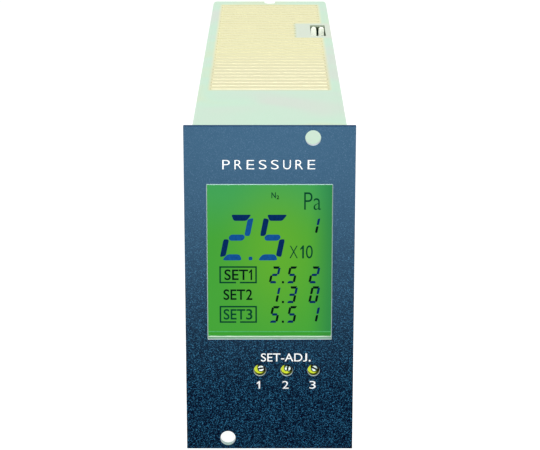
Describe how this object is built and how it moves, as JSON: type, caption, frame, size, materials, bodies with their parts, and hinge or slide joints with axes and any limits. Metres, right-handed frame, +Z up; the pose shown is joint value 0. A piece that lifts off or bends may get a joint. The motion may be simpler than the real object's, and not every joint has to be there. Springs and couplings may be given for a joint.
{
  "type": "panel-mounted vacuum gauge",
  "caption": "Panel-mounted vacuum gauge with a backlit display, set-point trimmers behind access holes and a long slotted sheet-metal case.",
  "frame": {"origin": "middle of the two mounting holes, on the front panel's rear face", "axes": "+X to the right as the panel is read, +Y back into the case, +Z up"},
  "size_m": [0.048, 0.259, 0.096],
  "materials": {
    "panel_paint": "fine sand-grain satin paint",
    "plated_steel": "zinc plated, pale yellow-green passivated sheet",
    "bright_metal": "nickel plated",
    "white_plastic": "satin moulded",
    "black_plastic": "satin moulded",
    "trimmer_yellow": "glossy moulded",
    "rotor_metal": "nickel plated brass",
    "display_film": "polariser film over a lit display",
    "display_glass": "polished glass",
    "light_guide": "milky light guide",
    "contact_rubber": "layered elastomer",
    "board": "glass-fibre laminate with solder mask",
    "core_steel": "varnished laminations",
    "coil_tape": "polyester tape over the winding",
    "capacitor_sleeve": "shrunk sleeve",
    "relay_blue": "moulded",
    "aluminium": "extruded",
    "insulator": "moulded phenolic",
    "pin_gold": "gold plated"
  },
  "bodies": {
    "gauge": {"front_panel": "panel_paint", "panel_studs": "bright_metal", "lcd_frame": "white_plastic", "lcd_polariser": "display_film", "lcd_glass": "display_glass", "backlight": "light_guide", "contact_strips": "contact_rubber", "display_board": "board", "display_standoffs": "bright_metal", "display_screws": "bright_metal", "set_trimmer_1": "trimmer_yellow", "set_trimmer_2": "trimmer_yellow", "set_trimmer_3": "trimmer_yellow", "trimmer_base_1": "trimmer_yellow", "trimmer_base_2": "trimmer_yellow", "trimmer_base_3": "trimmer_yellow", "display_plug": "black_plastic", "display_socket": "black_plastic", "chassis": "plated_steel", "top_cover": "plated_steel", "cover_screws": "bright_metal", "rear_panel": "plated_steel", "rear_screws": "bright_metal", "clinch_nuts": "bright_metal", "main_board": "board", "board_spacers": "bright_metal", "board_screws": "bright_metal", "board_nuts": "bright_metal", "selector_base": "black_plastic", "selector_frame": "black_plastic", "transformer_core": "core_steel", "transformer_coil": "coil_tape", "transformer_strap": "bright_metal", "transformer_screws": "bright_metal", "filter_capacitors": "capacitor_sleeve", "set_relay_1": "relay_blue", "set_relay_2": "relay_blue", "set_relay_3": "relay_blue", "heat_sink": "aluminium", "regulator": "black_plastic", "processor": "black_plastic", "rear_board": "board", "rear_plug": "black_plastic", "rear_socket": "black_plastic", "sensor_shell": "bright_metal", "sensor_nut": "bright_metal", "sensor_insert": "insulator", "sensor_pins": "pin_gold", "output_shell": "bright_metal", "output_insert": "black_plastic", "output_jackposts": "bright_metal", "terminal_block": "black_plastic", "terminal_plates": "bright_metal", "terminal_screws": "bright_metal"},
    "set_screw_1": {"set_rotor_1": "rotor_metal"},
    "set_screw_2": {"set_rotor_2": "rotor_metal"},
    "set_screw_3": {"set_rotor_3": "rotor_metal"},
    "selector_1": {"selector_lever_1": "white_plastic"},
    "selector_2": {"selector_lever_2": "white_plastic"}
  },
  "joints": [
    {"name": "set_1_turn", "type": "hinge", "parent": "gauge", "child": "set_screw_1", "pos_m": [-0.0025, 0, -0.0238], "axis": [0, 1, 0], "range_deg": [-210, 50]},
    {"name": "set_2_turn", "type": "hinge", "parent": "gauge", "child": "set_screw_2", "pos_m": [0.0052, 0, -0.0238], "axis": [0, 1, 0], "range_deg": [-140, 120]},
    {"name": "set_3_turn", "type": "hinge", "parent": "gauge", "child": "set_screw_3", "pos_m": [0.0129, 0, -0.0238], "axis": [0, 1, 0], "range_deg": [-68, 192]},
    {"name": "selector_1_slide", "type": "slide", "parent": "gauge", "child": "selector_1", "axis": [0, 1, 0], "range_m": [-0.003, 0]},
    {"name": "selector_2_slide", "type": "slide", "parent": "gauge", "child": "selector_2", "axis": [0, 1, 0], "range_m": [-0.003, 0]}
  ]
}
